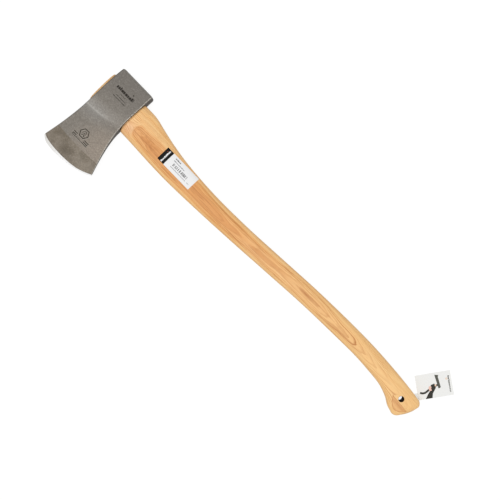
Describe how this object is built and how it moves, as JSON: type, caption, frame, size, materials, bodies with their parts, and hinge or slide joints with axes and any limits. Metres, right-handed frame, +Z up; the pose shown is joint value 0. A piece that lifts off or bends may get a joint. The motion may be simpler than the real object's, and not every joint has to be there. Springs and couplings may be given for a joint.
{
  "type": "felling axe",
  "caption": "Long-handled felling axe lying on its side: forged single-bit steel head, curved wooden haft with a swelled grip end and hanging hole, product label and a hang tag that is taken to be folded.",
  "frame": {"origin": "on the head's lower cheek, straight below the middle of the eye, so that z = 0 is the plane the head rests on", "axes": "+X along the haft from the head to the grip end, +Y from the cutting edge to the poll, +Z up through the thickness"},
  "size_m": [0.8427, 0.2375, 0.028],
  "materials": {
    "forged_steel": "satin",
    "hickory": "satin",
    "wedge_wood": "matte",
    "ring_steel": "satin",
    "label_film": "satin",
    "clear_film": "gloss",
    "tag_card": "matte",
    "tag_cover_card": "satin"
  },
  "bodies": {
    "axe": {"axe_head": "forged_steel", "haft": "hickory", "kerf_wedge": "wedge_wood", "ring_wedge": "ring_steel", "product_label": "label_film", "tag_tape": "clear_film", "tag_back_leaf": "tag_card"},
    "tag_cover": {"tag_front_leaf": "tag_cover_card"}
  },
  "joints": [
    {"name": "tag_fold", "type": "hinge", "parent": "axe", "child": "tag_cover", "pos_m": [0.73635, 0.06793, 0.00305], "axis": [-0.565, -0.8251, 0], "range_deg": [0, 170]}
  ]
}
